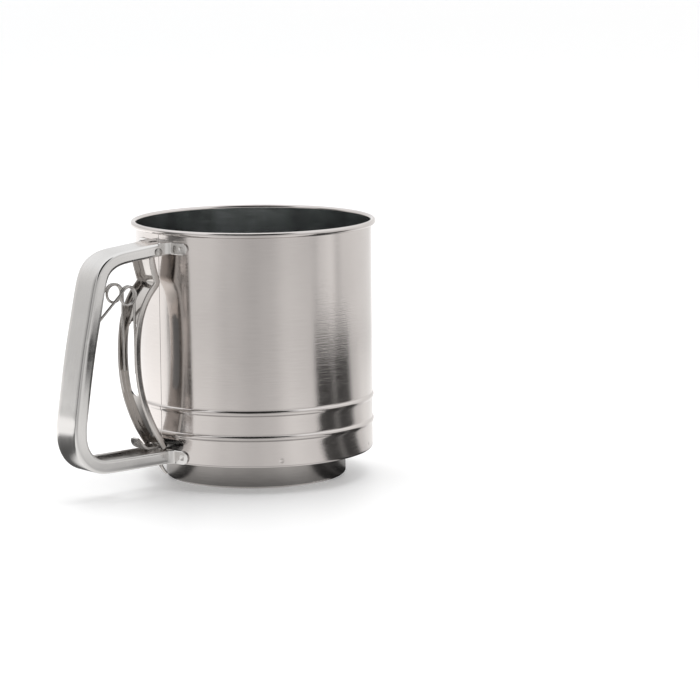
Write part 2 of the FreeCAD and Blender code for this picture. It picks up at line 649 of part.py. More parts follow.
def upper_agitator():
    """Pressed hexagon with six ribbed spokes and a raised hub."""
    z_low, z_top = Z_UPPER_AG, Z_UPPER_AG + SHEET_AG
    z_rib = z_low + 0.25
    corner_r = R_TIP + 1.2            # hexagon corners before rounding
    spoke_w, rim_w = 6.4, 5.2
    plate = polygon_prism([turned_point(corner_r, 0, 60 * i) for i in range(6)],
                          z_low, z_top, 5.0)

    # windows between the spokes, set back by half a spoke and the rim bar
    tan30, cos30 = math.tan(math.radians(30)), math.cos(math.radians(30))
    x_in = 14.0
    x_out = corner_r * cos30 - rim_w
    half_in = x_in * tan30 - spoke_w / 2.0 / cos30
    half_out = x_out * tan30 - spoke_w / 2.0 / cos30
    window = [(x_in, -half_in), (x_out, -half_out), (x_out, half_out), (x_in, half_in)]
    for i in range(6):
        plate = plate.cut(polygon_prism([turned_point(x, y, 60 * i + 30) for x, y in window],
                                        z_low - 1, z_top + 1, 2.0))
    plate = plate.cut(Part.makeCylinder(9.2, 4, Vector(0, 0, z_low - 1)))

    rib_lines = []
    for i in range(6):
        deg = 60 * i
        rib_lines.append((turned_point(12.2, 0, deg, z_rib),
                          turned_point(R_TIP - 4.6, 0, deg, z_rib)))
        rib_lines.append((turned_point(R_TIP - 3.0, 0, deg, z_rib),
                          turned_point(R_TIP - 3.0, 0, deg + 60, z_rib)))
    plate = press_ribs(plate, rib_lines, z_low)

    plate = plate.fuse(revolve([
        (0, Z_HUB), (8.3, Z_HUB), (8.3, z_low), (9.9, z_low), (9.9, z_top),
        (9.0, z_top + 0.3), (8.9, Z_HUB_TOP), (8.4, Z_HUB_TOP + 0.25), (7.9, Z_HUB_TOP),
        (0, Z_HUB_TOP)]))
    # slot for the spindle's tongue
    plate = plate.cut(Part.makeBox(
        TONGUE_W + 2 * RUN, TONGUE_T + 2 * RUN, 6,
        Vector(-TONGUE_W / 2 - RUN, -TONGUE_T / 2 - RUN, z_low - 1)))
    plate.rotate(ORIGIN, AXIS_Z, ROTOR_TURN)
    return plate


def lower_agitator():
    """Six broad ribbed arms, set half a pitch from the upper agitator's spokes."""
    z_low = Z_LOWER_AG
    z_rib = z_low + 0.25
    arm = [(6, -3.2), (R_TIP, -4.6), (R_TIP, 4.6), (6, 3.2)]
    plate = Part.makeCylinder(11.0, SHEET_AG, Vector(0, 0, z_low))
    rib_lines = []
    for i in range(6):
        deg = 60 * i + 30
        blade = polygon_prism([turned_point(x, y, deg) for x, y in arm],
                              z_low, z_low + SHEET_AG)
        tip_edges = [e for e in upright_edges(blade)
                     if math.hypot(e.Vertexes[0].Point.x, e.Vertexes[0].Point.y) > 30]
        plate = plate.fuse(blade.makeFillet(3.2, tip_edges))
        rib_lines.append((turned_point(13.0, 0, deg, z_rib),
                          turned_point(R_TIP - 5.0, 0, deg, z_rib)))
    plate = press_ribs(plate, rib_lines, z_low)
    plate = plate.cut(double_flat(R_SHAFT + FIT, SHAFT_FLATS + 2 * FIT,
                                  z_low - 1, z_low + 3))
    plate.rotate(ORIGIN, AXIS_Z, ROTOR_TURN)
    return plate


# -------------------------------------------------------------------------- spindle
def spindle_tongue():
    """Upper tongue, through the hub slot and folded down on the hub towards +Y."""
    fold_len = 6.6
    z_root = Z_SHAFT_TOP - 0.2
    z_fold = Z_HUB_TOP + FIT
    z_top = z_fold + TONGUE_T
    x_side, y_back = TONGUE_W / 2, -TONGUE_T / 2
    tongue = Part.makeBox(TONGUE_W, TONGUE_T, z_top - z_root, Vector(-x_side, y_back, z_root))
    tongue = clean(tongue.fuse(Part.makeBox(TONGUE_W, fold_len, TONGUE_T,
                                            Vector(-x_side, y_back, z_fold))))
    # outside of the fold
    fold_edges = [e for e in tongue.Edges
                  if abs(e.CenterOfMass.z - z_top) < 0.01
                  and abs(e.CenterOfMass.y - y_back) < 0.01]
    tongue = tongue.makeFillet(0.95, fold_edges)
    # upright corners of the free end
    end_edges = [e for e in tongue.Edges
                 if abs(e.CenterOfMass.y - (y_back + fold_len)) < 0.01
                 and abs(e.CenterOfMass.z - (z_fold + TONGUE_T / 2)) < 0.05
                 and abs(abs(e.CenterOfMass.x) - x_side) < 0.01]
    return tongue.makeFillet(1.2, end_edges)


def spindle():
    z_round = CRANK_Z[1] + FIT
    z_flats = Z_LOWER_AG - FIT        # shoulder under the lower agitator
    shaft = Part.makeCylinder(R_SHAFT, z_flats - z_round, Vector(0, 0, z_round))
    shaft = shaft.fuse(double_flat(R_SHAFT, SHAFT_FLATS, z_flats, Z_SHAFT_TOP))
    # lower tenon, square in the crank arm, riveted over below it
    shaft = shaft.fuse(Part.makeBox(TENON, TENON, CRANK_T + 0.1,
                                    Vector(-TENON / 2, -TENON / 2, CRANK_Z[0] - 0.04)))
    shaft = shaft.fuse(Part.makeCylinder(3.4, 0.35, Vector(0, 0, CRANK_Z[0] - 0.37)))
    shaft = shaft.fuse(Part.makeCone(2.7, 3.4, 0.4, Vector(0, 0, CRANK_Z[0] - 0.76)))
    shaft = shaft.fuse(spindle_tongue())
    shaft.rotate(ORIGIN, AXIS_Z, ROTOR_TURN)
    return shaft


def agitator_spacer():
    return tube(R_SLEEVE, R_SHAFT + FIT, Z_LOWER_AG + SHEET_AG + FIT, Z_SHAFT_TOP + 0.03)


def spindle_collar():
    """Collar between the crank arm and the lower screen's eyelet."""
    bore, z_low = R_SHAFT + FIT, CRANK_Z[1] + FIT
    z_eyelet = BEAD_LO - EYELET_HALF
    return revolve([
        (bore, z_low), (5.6, z_low), (5.6, z_eyelet - 0.32),
        (5.3, z_eyelet - 0.05, 5.512, z_eyelet - 0.12), (bore, z_eyelet - 0.05)])


# ----------------------------------------------------------- crank, rivet and link
def pin_cylinder(radius, height, z):
    """Upright cylinder on the crank pin's axis."""
    return Part.makeCylinder(radius, height, Vector(CRANK_PIN.x, CRANK_PIN.y, z))


def crank_arm():
    arm = oblong(ORIGIN, CRANK_PIN, 8.0, CRANK_Z[0], CRANK_Z[1])
    arm = arm.fuse(Part.makeCylinder(7.0, CRANK_T, Vector(0, 0, CRANK_Z[0])))
    side = TENON + 2 * FIT
    square = Part.makeBox(side, side, 6, Vector(-side / 2, -side / 2, CRANK_Z[0] - 2))
    square.rotate(ORIGIN, AXIS_Z, ROTOR_TURN)
    arm = arm.cut(square)
    return arm.cut(pin_cylinder(RIVET_R + FIT, 6, CRANK_Z[0] - 2))


def crank_rivet():
    """Rivet fixed in the crank arm, running in the link's eye."""
    z_shank = LINK_Z[0] - 0.55
    z_bottom = LINK_Z[0] - 1.30
    z_head = CRANK_Z[1] + FIT
    head_t = 0.7
    rivet = pin_cylinder(RIVET_R, CRANK_Z[1] + 0.3 - z_shank, z_shank)
    rivet = rivet.fuse(pin_cylinder(2.7, head_t, z_head))
    rivet = clean(rivet.fuse(pin_cylinder(2.6, 0.8, z_bottom)))
    end_edges = [e for e in rivet.Edges
                 if abs(e.CenterOfMass.z - (z_head + head_t)) < 0.01
                 or abs(e.CenterOfMass.z - z_bottom) < 0.01]
    return rivet.makeFillet(0.45, end_edges)


def crank_rivet_washer():
    return pin_cylinder(3.6, 0.40, LINK_Z[0] - 0.46).cut(
        pin_cylinder(RIVET_R + FIT, 2, LINK_Z[0] - 1.4))


def link_lip():
    """Upturned, round-topped end of the link behind the trigger."""
    half_w = LINK_HEAD_W / 2
    line = [(r, LINK_Z[0] + LINK_T / 2 + rise) for r, rise in LIP_LINE]
    lip = y_prism(face_between(offset_points(line, -LINK_T / 2, 30),
                               offset_points(line, LINK_T / 2, 30)), LINK_HEAD_W)
    lip.translate(Vector(0, LINK_SHIFT, 0))
    keep = Part.makeCylinder(half_w, 8, Vector(-68, LINK_SHIFT, LINK_Z[0] + 1.5), AXIS_X)
    keep = keep.fuse(Part.makeBox(
        8, LINK_HEAD_W, 4, Vector(-68, LINK_SHIFT - half_w, LINK_Z[0] - 2.5)))
    return lip.common(keep)


def drive_link():
    hole_r = 53.45                    # trigger tail at the link's height
    link = oblong(CRANK_PIN, Vector(-50.5, LINK_SHIFT - 1.5, 0), LINK_W, *LINK_Z)
    link = link.fuse(pin_cylinder(4.2, LINK_T, LINK_Z[0]))
    link = link.fuse(Part.makeBox(12.2, LINK_HEAD_W, LINK_T,
                                  Vector(-60.6, LINK_SHIFT - LINK_HEAD_W / 2, LINK_Z[0])))
    link = link.fuse(link_lip())
    link = link.cut(pin_cylinder(RIVET_R + RUN, 6, LINK_Z[0] - 2))
    hole = Part.makeBox(3.0, 5.6, 6, Vector(-hole_r - 1.7, LINK_SHIFT - 2.8, LINK_Z[0] - 2))
    return link.cut(hole.makeFillet(0.6, upright_edges(hole)))


# ---------------------------------------------------------------------------- build
os.makedirs("parts", exist_ok=True)

write("cup_body", cup_body())
write("foot_ring", foot_ring())
write("handle", handle())
write("trigger_pivot_pin", trigger_pivot_pin())
write("trigger", trigger())
write("return_spring", return_spring(), tidy=False)
# level, bead height, eyelet bore, eyelet flange radius
for level, bead_z, eyelet_bore, eyelet_flange_r in (
        ("upper", BEAD_HI, R_SLEEVE + RUN, 8.2),
        ("lower", BEAD_LO, R_SHAFT + RUN, 7.0)):
    write(level + "_screen_hoop", screen_hoop(bead_z))
    write(level + "_screen", screen(bead_z, eyelet_bore))
    write(level + "_screen_eyelet", screen_eyelet(bead_z, eyelet_bore, eyelet_flange_r))
write("upper_agitator", upper_agitator())
write("lower_agitator", lower_agitator())
write("spindle", spindle())
write("agitator_spacer", agitator_spacer())
write("spindle_collar", spindle_collar())
write("crank_arm", crank_arm())
write("crank_rivet", crank_rivet())
write("crank_rivet_washer", crank_rivet_washer())
write("drive_link", drive_link())
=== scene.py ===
# A squeeze-handle sifter: a steel cup with two wire screens and their agitators, a U-channel
# handle, and a trigger that hangs inside the handle with a wire return spring.
# The cup's axis is Z, up from the floor; handle and trigger lie on the -X side.
# Sizes are in mm unless noted.  Side outlines are (r, z), r being the distance toward -X,
# so x = -r.  Lights, camera and shader distances are in metres.
import bpy
import math
import numpy as np
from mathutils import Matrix, Quaternion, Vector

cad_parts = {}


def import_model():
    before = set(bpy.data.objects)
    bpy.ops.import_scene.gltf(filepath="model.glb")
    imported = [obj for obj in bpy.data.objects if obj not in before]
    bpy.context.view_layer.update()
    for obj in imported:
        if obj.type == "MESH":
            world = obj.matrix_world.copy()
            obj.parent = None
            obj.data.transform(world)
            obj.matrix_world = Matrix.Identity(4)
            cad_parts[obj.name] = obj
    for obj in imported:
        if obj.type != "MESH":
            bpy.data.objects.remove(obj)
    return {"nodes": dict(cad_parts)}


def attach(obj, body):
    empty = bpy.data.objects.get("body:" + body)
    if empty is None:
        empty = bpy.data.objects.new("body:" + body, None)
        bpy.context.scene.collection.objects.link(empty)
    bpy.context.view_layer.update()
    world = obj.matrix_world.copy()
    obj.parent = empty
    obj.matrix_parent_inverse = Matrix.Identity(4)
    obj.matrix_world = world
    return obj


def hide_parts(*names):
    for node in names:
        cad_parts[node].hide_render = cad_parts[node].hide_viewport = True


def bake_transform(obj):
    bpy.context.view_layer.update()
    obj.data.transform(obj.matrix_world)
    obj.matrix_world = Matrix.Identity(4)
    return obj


CAD_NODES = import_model()["nodes"]


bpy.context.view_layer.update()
MM = 0.001

# ------------------------------------------------------------------ driving sizes (mm)
WALL_R, CUP_SHEET = 52.03, 0.50            # outer face of the cup wall
INNER_R = WALL_R - CUP_SHEET
CUP_BOTTOM_Z, CUP_TOP_Z = 11.50, 113.40
RIM_R, ROLL_R = 54.00, 1.24                # rolled rim: outermost radius, radius of the roll
ROLL_CENTRE_R, ROLL_CENTRE_Z = RIM_R - ROLL_R, CUP_TOP_Z - ROLL_R
BEAD_ZS, BEAD_R, BEAD_OUT = (35.10, 24.20), 1.50, 0.62   # one bead at each screen
SLOT_ZS, SLOT_AZIMUTHS = (17.40, 21.90), (-7.5, 14.5)    # degrees from -X toward -Y
WELD_Z, WELD_AZIMUTH, WELD_COUNT = 14.40, 63.7, 6        # first weld, degrees from -X
SEAM_AZIMUTH = 180                         # degrees from +X

STRIP_SHEET = 0.8                          # handle and trigger
SEAT_R = WALL_R + 0.06                     # handle parts end just clear of the wall
PIVOT = (57.8, 104.3)                      # (r, z) of the trigger's pin

# (r, z) of the handle's outer face, from the top of the wall round to its foot
HANDLE_OUTLINE = [
    (51.0, 108.3), (54.0, 108.05), (59.0, 107.65), (64.0, 107.2), (69.0, 106.75),
    (74.0, 106.3), (77.6, 105.85), (80.6, 105.1), (83.4, 103.9), (86.0, 102.2),
    (88.2, 99.9), (89.8, 97.1), (91.0, 93.8), (92.1, 89.6), (94.6, 78.4),
    (97.3, 66.0), (99.6, 53.6), (101.6, 41.4), (102.6, 35.0), (103.0, 30.6),
    (102.9, 26.8), (102.1, 22.9), (100.5, 19.4), (98.1, 16.3), (95.0, 13.9),
    (91.4, 12.3), (87.6, 11.55), (83.0, 11.4), (74.0, 11.4), (65.0, 11.45),
    (57.0, 11.5), (51.0, 11.5)]
# (r, z) of the trigger's web, from the pivot down
TRIGGER_OUTLINE = [
    (59.12, 103.9), (58.92, 102.4), (58.45, 99.6), (57.7, 96.6), (56.85, 93.8),
    (56.2, 91.9), (56.15, 90.5), (57.0, 89.0), (58.9, 87.1), (60.8, 84.9),
    (63.2, 80.9), (65.2, 75.8), (66.45, 69.8), (67.05, 63.0), (67.0, 55.6),
    (66.2, 48.2), (64.6, 41.2), (62.0, 34.2), (58.75, 27.6), (55.35, 22.2),
    (53.7, 19.7)]
# (r, z) of the narrow tail below the trigger's web
TAIL_LINE = [(54.75, 20.8), (53.75, 19.2), (53.45, 17.6), (53.4, 14.8), (53.5, 12.2),
             (53.25, 10.5), (52.0, 8.2), (50.15, 5.8)]
# (fraction of the length, flange depth)
HANDLE_DEPTHS = [(0, 5.45), (0.12, 5.3), (0.24, 5.45), (0.34, 5.8), (0.62, 5.75),
                 (0.80, 6.0), (1.0, 5.95)]
TRIGGER_DEPTHS = [(0, 2.2), (0.025, 3.1), (0.045, 3.3), (0.9, 3.3), (1.0, 3.1)]


# ----------------------------------------------------------------------- mesh helpers
def new_mesh(name, verts, faces, smooth=True):
    """Object from vertices in mm, with its normals turned outward."""
    mesh = bpy.data.meshes.new(name)
    scaled = np.asarray(verts, float) * MM
    mesh.from_pydata([tuple(v) for v in scaled], [], [tuple(f) for f in faces])
    mesh.validate()
    mesh.update()
    if smooth:
        mesh.polygons.foreach_set("use_smooth", [True] * len(mesh.polygons))
    obj = bpy.data.objects.new(name, mesh)
    bpy.context.scene.collection.objects.link(obj)
    select_only([obj])
    bpy.ops.object.mode_set(mode="EDIT")
    bpy.ops.mesh.select_all(action="SELECT")
    bpy.ops.mesh.normals_make_consistent(inside=False)
    bpy.ops.object.mode_set(mode="OBJECT")
    obj.select_set(False)
    return obj


def select_only(objs):
    """Select just these objects; the first becomes active."""
    for other in bpy.context.selected_objects:
        other.select_set(False)
    for obj in objs:
        obj.select_set(True)
    bpy.context.view_layer.objects.active = objs[0]


def loft(name, rings, closed_path=False, smooth=True):
    """Object with quads through equal closed rings, capped unless the path closes."""
    count, size = len(rings), len(rings[0])
    faces = []
    for i in range(count if closed_path else count - 1):
        here, there = i * size, ((i + 1) % count) * size
        for j in range(size):
            k = (j + 1) % size
            faces.append((here + j, here + k, there + k, there + j))
    if not closed_path:
        faces.append(tuple(range(size))[::-1])
        faces.append(tuple((count - 1) * size + j for j in range(size)))
    return new_mesh(name, np.vstack(rings), faces, smooth)


def blend_points(t, t_a, t_b, a, b):
    return (t_b - t) / (t_b - t_a) * a + (t - t_a) / (t_b - t_a) * b


def resample(points, step):
    """Centripetal Catmull-Rom curve at even steps: the points and their arc lengths."""
    given = np.asarray(points, float)
    given = np.vstack([2 * given[0] - given[1], given, 2 * given[-1] - given[-2]])
    curve = []
    for p0, p1, p2, p3 in zip(given, given[1:], given[2:], given[3:]):
        knots = [0.0]
        for a, b in ((p0, p1), (p1, p2), (p2, p3)):
            knots.append(knots[-1] + max(np.linalg.norm(b - a), 1e-6) ** 0.5)
        t0, t1, t2, t3 = knots
        for t in np.linspace(t1, t2, 24, endpoint=False):
            a1 = blend_points(t, t0, t1, p0, p1)
            a2 = blend_points(t, t1, t2, p1, p2)
            a3 = blend_points(t, t2, t3, p2, p3)
            b1 = blend_points(t, t0, t2, a1, a2)
            b2 = blend_points(t, t1, t3, a2, a3)
            curve.append(blend_points(t, t1, t2, b1, b2))
    curve.append(given[-2])
    curve = np.array(curve)
    run = np.concatenate([[0], np.cumsum(np.linalg.norm(np.diff(curve, axis=0), axis=1))])
    stations = np.linspace(0, run[-1], max(2, int(round(run[-1] / step)) + 1))
    even = [np.interp(stations, run, curve[:, k]) for k in range(curve.shape[1])]
    return np.stack(even, 1), stations


def smooth_rows(points, times):
    points = points.copy()
    for _ in range(times):
        points[1:-1] = 0.25 * points[:-2] + 0.5 * points[1:-1] + 0.25 * points[2:]
    return points


def unit_tangents(points):
    tangents = np.gradient(points, axis=0)
    return tangents / np.linalg.norm(tangents, axis=1)[:, None]


def left_normals(points):
    """Unit normals to the left of travel along a flat curve."""
    tangents = unit_tangents(points)
    return np.stack([-tangents[:, 1], tangents[:, 0]], 1)


def arc(cx, cy, radius, start, end, count):
    """Points of an arc; angles in degrees."""
    turns = np.radians(np.linspace(start, end, count))
    return [(cx + radius * math.cos(t), cy + radius * math.sin(t)) for t in turns]


def bevelled(half_w, half_h, bevel, side_points=0):
    """Bevelled rectangle about the origin, with extra points on its two upright sides."""
    low, high = -half_h + bevel, half_h - bevel
    rise = np.linspace(low, high, side_points + 2)[1:-1]
    return ([(-half_w, low), (-half_w + bevel, -half_h), (half_w - bevel, -half_h),
             (half_w, low)] + [(half_w, z) for z in rise]
            + [(half_w, high), (half_w - bevel, half_h), (-half_w + bevel, half_h),
               (-half_w, high)] + [(-half_w, z) for z in rise[::-1]])


def cut(obj, cutters):
    """Subtract each cutter, apply the result and remove the cutters."""
    for cutter in cutters:
        modifier = obj.modifiers.new("cut", "BOOLEAN")
        modifier.operation = "DIFFERENCE"
        modifier.solver = "EXACT"
        modifier.object = cutter
    bpy.context.view_layer.update()
    depsgraph = bpy.context.evaluated_depsgraph_get()
    mesh = bpy.data.meshes.new_from_object(obj.evaluated_get(depsgraph))
    obj.modifiers.clear()
    obj.data = mesh
    for cutter in cutters:
        bpy.data.objects.remove(cutter)
    return obj


def join(parts):
    """Join all parts into the first."""
    select_only(parts)
    bpy.ops.object.join()
    parts[0].select_set(False)
    return parts[0]


def shade_by_angle(obj, degrees):
    obj.data.polygons.foreach_set("use_smooth", [True] * len(obj.data.polygons))
    obj.data.set_sharp_from_angle(angle=math.radians(degrees))


def set_materials(obj, *names):
    obj.data.materials.clear()
    for name in names:
        obj.data.materials.append(STEELS[name])


# ---------------------------------------------------------------------------- cutters
def oblong_cutter(name, start, end, width, low, high, axis="z"):
    """Round-ended prism.  Start and end are (x, y) for axis z, (y, z) for axis x."""
    heading = math.degrees(math.atan2(end[1] - start[1], end[0] - start[0]))
    outline = (arc(*end, width / 2, heading - 90, heading + 90, 16)
               + arc(*start, width / 2, heading + 90, heading + 270, 16))
    rings = [np.array([(a, b, level) if axis == "z" else (level, a, b) for a, b in outline])
             for level in (low, high)]
    return loft(name, rings, smooth=False)


def ball_cutter(name, centre, radius, around=40, down=20):
    turn = np.linspace(0, 2 * math.pi, around, endpoint=False)
    rings = []
    for i in range(1, down):
        tilt = math.pi * i / down
        unit = np.stack([np.sin(tilt) * np.cos(turn), np.sin(tilt) * np.sin(turn),
                         np.full(around, np.cos(tilt))], 1)
        rings.append(np.array(centre) + radius * unit)
    return loft(name, rings, smooth=False)


def rod_cutter(name, at, radius, y_low, y_high, around=32):
    """Round bar along Y at (r, z)."""
    turn = np.linspace(0, 2 * math.pi, around, endpoint=False)
    rings = [np.stack([-at[0] + radius * np.cos(turn), np.full(around, y),
                       at[1] + radius * np.sin(turn)], 1) for y in (y_low, y_high)]
    return loft(name, rings, smooth=False)


# ----------------------------------------------------------------------- shader graph
class Graph:
    """The emptied node tree of a material or world, with short ways to add nodes.

    Inputs are given as {socket: value or the output that feeds it}.
    """

    def __init__(self, owner):
        owner.use_nodes = True
        self.tree = owner.node_tree
        self.tree.nodes.clear()

    def node(self, kind, inputs=None, **settings):
        node = self.tree.nodes.new("ShaderNode" + kind)
        for key, value in settings.items():
            setattr(node, key, value)
        for key, value in (inputs or {}).items():
            if isinstance(value, bpy.types.NodeSocket):
                self.tree.links.new(value, node.inputs[key])
            else:
                node.inputs[key].default_value = value
        return node

    def add(self, kind, inputs=None, output=0, **settings):
        """Add a node and return one of its outputs."""
        return self.node(kind, inputs, **settings).outputs[output]

    def math(self, operation, first, second, **settings):
        return self.add("Math", {0: first, 1: second}, operation=operation, **settings)

    def remap(self, value, source, target=(0.0, 1.0), **settings):
        inputs = {"Value": value, "From Min": source[0], "From Max": source[1],
                  "To Min": target[0], "To Max": target[1]}
        return self.add("MapRange", inputs, **settings)

    def smoothstep(self, value, source, target=(0.0, 1.0)):
        return self.remap(value, source, target, interpolation_type="SMOOTHSTEP")

    def dot(self, vector, direction):
        return self.add("VectorMath", {0: vector, 1: direction}, output="Value",
                        operation="DOT_PRODUCT")

    def mix_colour(self, factor, first, second):
        return self.add("Mix", {"Factor": factor, 6: first, 7: second}, output=2,
                        data_type="RGBA")

    def ramp(self, value, stops, interpolation="LINEAR"):
        """Colour ramp from (position, colour) stops."""
        node = self.node("ValToRGB", {0: value})
        node.color_ramp.interpolation = interpolation
        elements = node.color_ramp.elements
        while len(elements) > 1:
            elements.remove(elements[-1])
        elements[0].position, elements[0].color = stops[0]
        for position, colour in stops[1:]:
            elements.new(position).color = colour
        return node.outputs[0]


# -------------------------------------------------------------------------- materials
ANGLE_SQUEEZE = 0.0022     # shrinks the angle, so that lines run round the cup
LENGTH_SQUEEZE = 0.04      # shrinks x and z, so that lines run along handle and trigger
EDGE_LIFT_GAIN = 1.25           # brightness of the edges that pointiness picks out


def steel(name, colour, roughness, brush, line_scale, line_rough, line_bump, smudge,
          tone_drop, spot_scale, edge_lift, line_depth, reflection_streaks):
    """Steel with fine polishing lines, faint smudges, tone drift, edges lightened where
    pointiness is high and, when asked, painted reflection streaks.
    """
    material = bpy.data.materials.new(name)
    graph = Graph(material)
    place = graph.add("TexCoord", output="Object")
    x, y, z = graph.node("SeparateXYZ", {0: place}).outputs
    if brush == "cylinder":
        angle = graph.math("ARCTAN2", y, x)
        stretched = (graph.math("MULTIPLY", angle, ANGLE_SQUEEZE), z)
    elif brush == "along":
        z_short = graph.math("MULTIPLY", z, LENGTH_SQUEEZE)
        stretched = (graph.math("MULTIPLY", x, LENGTH_SQUEEZE), y, z_short)
    else:
        stretched = (x, y, z)
    line_place = graph.add("CombineXYZ", dict(enumerate(stretched)))
    lines = graph.add("TexNoise", {"Vector": line_place, "Scale": line_scale,
                                   "Detail": 6.0, "Roughness": 0.65})
    spots = graph.add("TexNoise", {"Vector": place, "Scale": spot_scale,
                                   "Detail": 5.0, "Distortion": 0.6})

    line_part = graph.remap(lines, source=(0.3, 0.7),
                            target=(-line_rough * 0.5, line_rough * 0.5))
    smudge_part = graph.remap(spots, source=(0.35, 0.75), target=(0.0, smudge))
    uneven = graph.math("ADD", line_part, smudge_part)
    total_rough = graph.math("ADD", uneven, roughness, use_clamp=True)

    # tone drift: lines and spots weighted together
    line_share = graph.math("MULTIPLY", lines, 0.45)
    spot_share = graph.math("MULTIPLY", spots, 0.55)
    drift = graph.math("ADD", line_share, spot_share)
    dark = tuple(c * (1 - tone_drop) for c in colour)
    tone = graph.ramp(drift, [(0.30, dark + (1,)), (0.72, colour + (1,))])
    # edges picked out by pointiness are lightened toward a brighter copy of the colour
    pointiness = graph.add("NewGeometry", output="Pointiness")
    edges = graph.remap(pointiness, source=(0.52, 0.62), target=(0.0, edge_lift))
    edge_tone = tuple(min(1, c * EDGE_LIFT_GAIN) for c in colour) + (1,)
    tone = graph.mix_colour(edges, tone, edge_tone)
    if reflection_streaks:
        # upright bands of painted reflection, darkening the tone in vertical streaks
        angle = graph.math("ARCTAN2", y, x)
        reflection_band_place = graph.add("CombineXYZ", {0: angle, 1: z})
        reflection_bands = graph.add("TexNoise", {"Vector": reflection_band_place, "Scale": 4.5, "Detail": 5.0})
        shade = graph.remap(reflection_bands, source=(0.35, 0.65), target=(1.0 - reflection_streaks, 1.0))
        tone = graph.add("VectorMath", {0: tone, "Scale": shade}, operation="SCALE")

    # bump: polishing lines, then a little unevenness of the sheet
    line_normal = graph.add("Bump", {"Strength": line_bump, "Distance": line_depth,
                                     "Height": lines})
    waves = graph.add("TexNoise", {"Vector": place, "Scale": 28.0, "Detail": 1.0})
    normal = graph.add("Bump", {"Strength": 0.25, "Distance": 0.0002, "Height": waves,
                                "Normal": line_normal})
    surface = graph.add("BsdfPrincipled", {"Metallic": 1.0, "Roughness": total_rough,
                                           "Base Color": tone, "Normal": normal})
    graph.node("OutputMaterial", {0: surface})
    return material


# Columns are the arguments of steel(): name, colour, roughness, brush,
# then line scale, roughness and bump, smudge, tone drop, spot scale, edge lightening,
# line depth in metres, painted reflection streaks
FINISHES = [
    ("cup_steel", (0.690, 0.652, 0.632), 0.10, "cylinder",
     2300.0, 0.15, 0.45, 0.05, 0.14, 26.0, 0.2, 0.00005, 0.0),
    # the inside of the wall: a brighter, cooler copy of the cup steel, painted light that
    # lifts the shade inside the cup, with painted reflection streaks
    ("cup_inside_painted_light_steel", (0.84, 0.87, 0.87), 0.16, "cylinder",
     2200.0, 0.10, 0.2, 0.08, 0.16, 40.0, 0.0, 0.00004, 0.30),
    # the foot ring: a darker copy of the steel, painted shade for the shadowed floor that it
    # reflects
    ("foot_painted_shade_steel", (0.42, 0.40, 0.386), 0.17, "cylinder",
     2300.0, 0.10, 0.2, 0.05, 0.18, 30.0, 0.2, 0.00004, 0.0),
    ("handle_steel", (0.765, 0.752, 0.740), 0.095, "along",
     2400.0, 0.10, 0.15, 0.10, 0.14, 60.0, 0.3, 0.00004, 0.0),
    ("trigger_steel", (0.64, 0.612, 0.588), 0.10, "along",
     2400.0, 0.08, 0.15, 0.06, 0.16, 70.0, 0.3, 0.00004, 0.0),
    ("spring_steel", (0.58, 0.56, 0.54), 0.18, "none",
     1800.0, 0.10, 0.2, 0.05, 0.20, 300.0, 0.2, 0.00004, 0.0),
    ("screen_steel", (0.60, 0.59, 0.575), 0.26, "none",
     2500.0, 0.10, 0.2, 0.08, 0.25, 120.0, 0.0, 0.00004, 0.0),
    ("pressed_steel", (0.56, 0.54, 0.52), 0.20, "none",
     1500.0, 0.12, 0.3, 0.10, 0.24, 90.0, 0.5, 0.00004, 0.0),
    ("satin_steel", (0.58, 0.565, 0.545), 0.25, "cylinder",
     2200.0, 0.12, 0.25, 0.08, 0.18, 90.0, 0.4, 0.00004, 0.0),
]
STEELS = {row[0]: steel(*row) for row in FINISHES}


# --------------------------------------------------------------------------- cup body
CORNER_R = 0.9                       # bottom outer corner
LIP_R = 48.6                         # inner edge of the turned-in bottom lip
SEAM_HALF_W, SEAM_DEPTH = 0.2, 0.06
WELD_R, WELD_DEPTH = 1.1, 0.16
# stations across the seam, in steps of SEAM_STEP degrees
SEAM_STATIONS = (-1.4, -0.9, -0.5, -0.3, -0.16, -0.08, 0.0, 0.08, 0.16, 0.3, 0.5, 0.9, 1.4)
SEAM_STEP = 0.6


def wall_heights():
    """Heights up the wall: finest at the beads, fine at the spot welds."""
    heights = [12.5]
    while heights[-1] < ROLL_CENTRE_Z - 0.6:
        z = heights[-1]
        if min(abs(z - bead_z) for bead_z in BEAD_ZS) < 2.2:
            step = 0.15
        elif 12.4 < z < 16.2:
            step = 0.25
        else:
            step = 1.2
        heights.append(z + step)
    heights[-1] = ROLL_CENTRE_Z - 0.5
    return heights


def wall_line(wall_r, bead_r):
    """(r, z) up one face of the wall, with the beads pressed out and filleted."""
    bead_centre_r = WALL_R + BEAD_OUT - BEAD_R
    line = []
    for z in wall_heights():
        r = wall_r
        for bead_z in BEAD_ZS:
            off = abs(z - bead_z)
            if off < bead_r:
                r = max(r, bead_centre_r + math.sqrt(bead_r ** 2 - off ** 2))
            r += math.exp(-((off - bead_r * 0.78) / 0.45) ** 2) * 0.05
        line.append((r, z))
    return line


